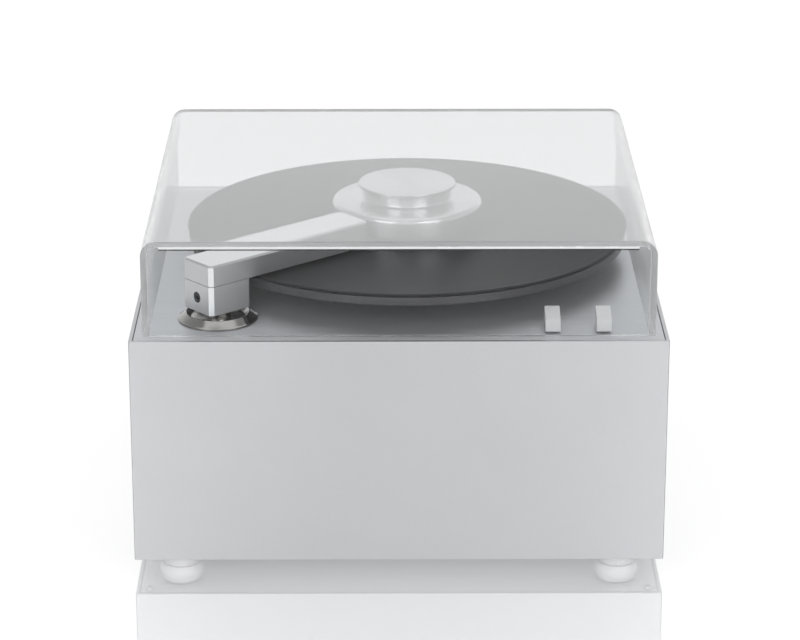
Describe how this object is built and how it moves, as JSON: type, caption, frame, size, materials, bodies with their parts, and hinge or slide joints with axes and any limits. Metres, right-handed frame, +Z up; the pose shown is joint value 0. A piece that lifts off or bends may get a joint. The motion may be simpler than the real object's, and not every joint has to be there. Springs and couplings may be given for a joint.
{
  "type": "record cleaning machine",
  "caption": "Boxy aluminium vacuum record cleaning machine with a belt driven platter, screw clamp, hollow swivelling suction arm, paddle switches and a clear lift-off dust cover.",
  "frame": {"origin": "centre of the whole object's box, at the height of the surface that its feet stand on", "axes": "+X to the right along the front, +Y towards the rear, +Z up"},
  "size_m": [0.348, 0.3522, 0.2292],
  "materials": {
    "satin_aluminium": "fine satin anodised",
    "brushed_aluminium": "brushed from side to side, satin",
    "polished_aluminium": "turned and polished",
    "polished_steel": "turned and polished",
    "bare_steel": "bare, fine turned",
    "brass": "turned, plain",
    "clear_acrylic": "clear polished acrylic sheet",
    "record_vinyl": "black vinyl with fine grooves",
    "platter_black": "black, fine satin",
    "mat_rubber": "matt black",
    "lip_velvet": "short black pile",
    "foot_silicone": "whitish translucent silicone",
    "black_plastic": "fine moulded texture",
    "grey_plastic": "plain moulded",
    "tank_plastic": "milky blow-moulded",
    "hose_rubber": "plain black hose",
    "board_green": "green lacquered board",
    "copper_winding": "enamelled winding"
  },
  "bodies": {
    "machine": {"case_wrap": "satin_aluminium", "top_plate": "brushed_aluminium", "base_plate": "satin_aluminium", "rear_panel": "satin_aluminium", "post_front_left": "satin_aluminium", "post_front_right": "satin_aluminium", "post_rear_left": "satin_aluminium", "post_rear_right": "satin_aluminium", "foot_front_left": "foot_silicone", "foot_front_right": "foot_silicone", "foot_rear_left": "foot_silicone", "foot_rear_right": "foot_silicone", "pivot_collar": "polished_steel", "pivot_bearing": "brass", "suction_elbow": "black_plastic", "switch_left": "black_plastic", "switch_right": "black_plastic", "spindle_housing": "brass", "drive_belt": "hose_rubber", "gear_motor": "bare_steel", "motor_bracket": "bare_steel", "vacuum_turbine": "grey_plastic", "turbine_mount": "mat_rubber", "exhaust_duct": "grey_plastic", "fluid_tank": "tank_plastic", "tank_lid": "tank_plastic", "suction_hose": "hose_rubber", "vacuum_hose": "hose_rubber", "drain_hose": "hose_rubber", "mains_inlet": "black_plastic", "mains_switch": "black_plastic", "drain_tap": "brass", "tap_nut": "brass", "control_board": "board_green", "transformer": "copper_winding"},
    "platter_group": {"platter": "platter_black", "platter_mat": "mat_rubber", "record": "record_vinyl", "spindle": "bare_steel", "spindle_pulley": "bare_steel"},
    "clamp": {"clamp_body": "polished_aluminium", "clamp_seal": "mat_rubber"},
    "motor_shaft": {"motor_pulley": "bare_steel"},
    "arm_swivel": {"swivel_sleeve": "polished_steel"},
    "suction_arm": {"arm_bar": "satin_aluminium", "arm_block": "satin_aluminium", "arm_tube": "polished_steel", "arm_set_screw": "black_plastic", "arm_lip_near": "lip_velvet", "arm_lip_far": "lip_velvet"},
    "left_paddle": {"paddle_left": "satin_aluminium"},
    "right_paddle": {"paddle_right": "satin_aluminium"},
    "rear_rocker": {"mains_rocker": "black_plastic"},
    "tap_lever": {"drain_lever": "black_plastic"},
    "cover": {"dust_cover": "clear_acrylic"}
  },
  "joints": [
    {"name": "cover_lift", "type": "slide", "parent": "machine", "child": "cover", "axis": [0, 0, 1], "range_m": [0, 0.12]},
    {"name": "platter_spin", "type": "hinge", "parent": "machine", "child": "platter_group", "pos_m": [0.0063, -0.00915, 0.17], "axis": [0, 0, 1], "continuous": true},
    {"name": "motor_pulley_spin", "type": "hinge", "parent": "machine", "child": "motor_shaft", "pos_m": [0.0573, -0.07215, 0.11], "axis": [0, 0, 1], "continuous": true},
    {"name": "clamp_lift", "type": "slide", "parent": "platter_group", "child": "clamp", "axis": [0, 0, 1], "range_m": [0, 0.006]},
    {"name": "arm_swing", "type": "hinge", "parent": "machine", "child": "arm_swivel", "pos_m": [-0.11847, -0.12914, 0.17], "axis": [0, 0, 1], "range_deg": [-45, 55]},
    {"name": "arm_lift", "type": "slide", "parent": "arm_swivel", "child": "suction_arm", "axis": [0, 0, 1], "range_m": [0, 0.005]},
    {"name": "paddle_left_tilt", "type": "hinge", "parent": "machine", "child": "left_paddle", "pos_m": [0.0995, -0.15175, 0.1573], "axis": [-1, 0, 0], "range_deg": [0, 20]},
    {"name": "paddle_right_tilt", "type": "hinge", "parent": "machine", "child": "right_paddle", "pos_m": [0.1326, -0.15175, 0.1573], "axis": [-1, 0, 0], "range_deg": [0, 20]},
    {"name": "mains_rocker_tilt", "type": "hinge", "parent": "machine", "child": "rear_rocker", "pos_m": [-0.066, 0.15715, 0.0603], "axis": [-1, 0, 0], "range_deg": [0, 16]},
    {"name": "drain_lever_turn", "type": "hinge", "parent": "machine", "child": "tap_lever", "pos_m": [-0.146, 0.16415, 0.038], "axis": [0, 0, 1], "range_deg": [0, 90]}
  ],
  "couplings": [
    {"joint": "motor_pulley_spin", "follows": "platter_spin", "ratio": 3}
  ]
}
